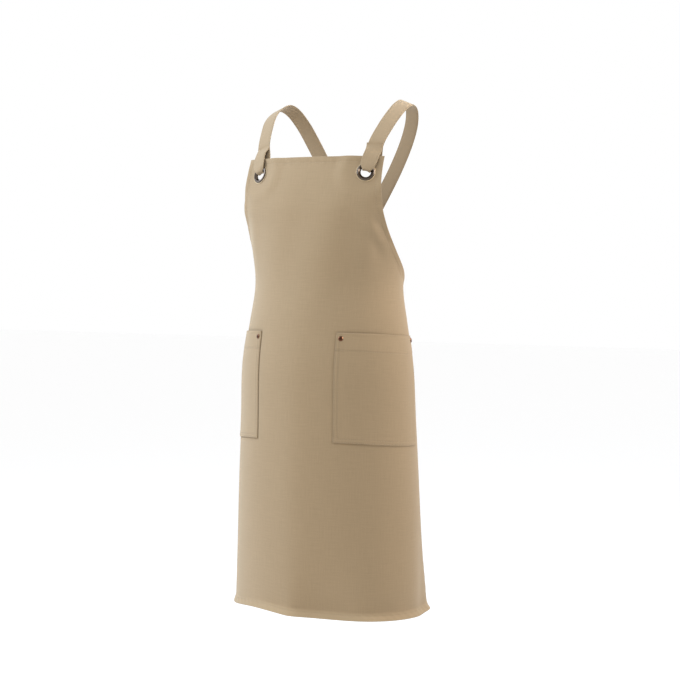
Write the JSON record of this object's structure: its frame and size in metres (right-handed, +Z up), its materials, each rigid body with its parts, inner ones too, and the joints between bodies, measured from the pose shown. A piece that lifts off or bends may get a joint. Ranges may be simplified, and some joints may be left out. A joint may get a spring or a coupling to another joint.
{
  "type": "kitchen apron",
  "caption": "Cross-back bib apron in tan cotton twill, with straps looped through metal eyelets and two riveted patch pockets, in its worn shape.",
  "frame": {"origin": "midway between the two straps, at the height where their undersides rest on the tops of the shoulders", "axes": "+Z up, -Y to the front of the apron, +X to the wearer's left"},
  "size_m": [0.3834, 0.261, 0.9739],
  "materials": {
    "cotton_twill": "plain dyed cotton twill, matt",
    "strap_twill": "folded cotton twill, matt",
    "gunmetal": "polished dark plate",
    "antique_copper": "dark antique copper plate"
  },
  "bodies": {
    "root": {"apron_panel": "cotton_twill", "left_pocket": "cotton_twill", "right_pocket": "cotton_twill", "left_strap": "strap_twill", "right_strap": "strap_twill", "left_eyelet": "gunmetal", "right_eyelet": "gunmetal", "left_pocket_inner_rivet": "antique_copper", "left_pocket_outer_rivet": "antique_copper", "right_pocket_inner_rivet": "antique_copper", "right_pocket_outer_rivet": "antique_copper"}
  },
  "joints": []
}
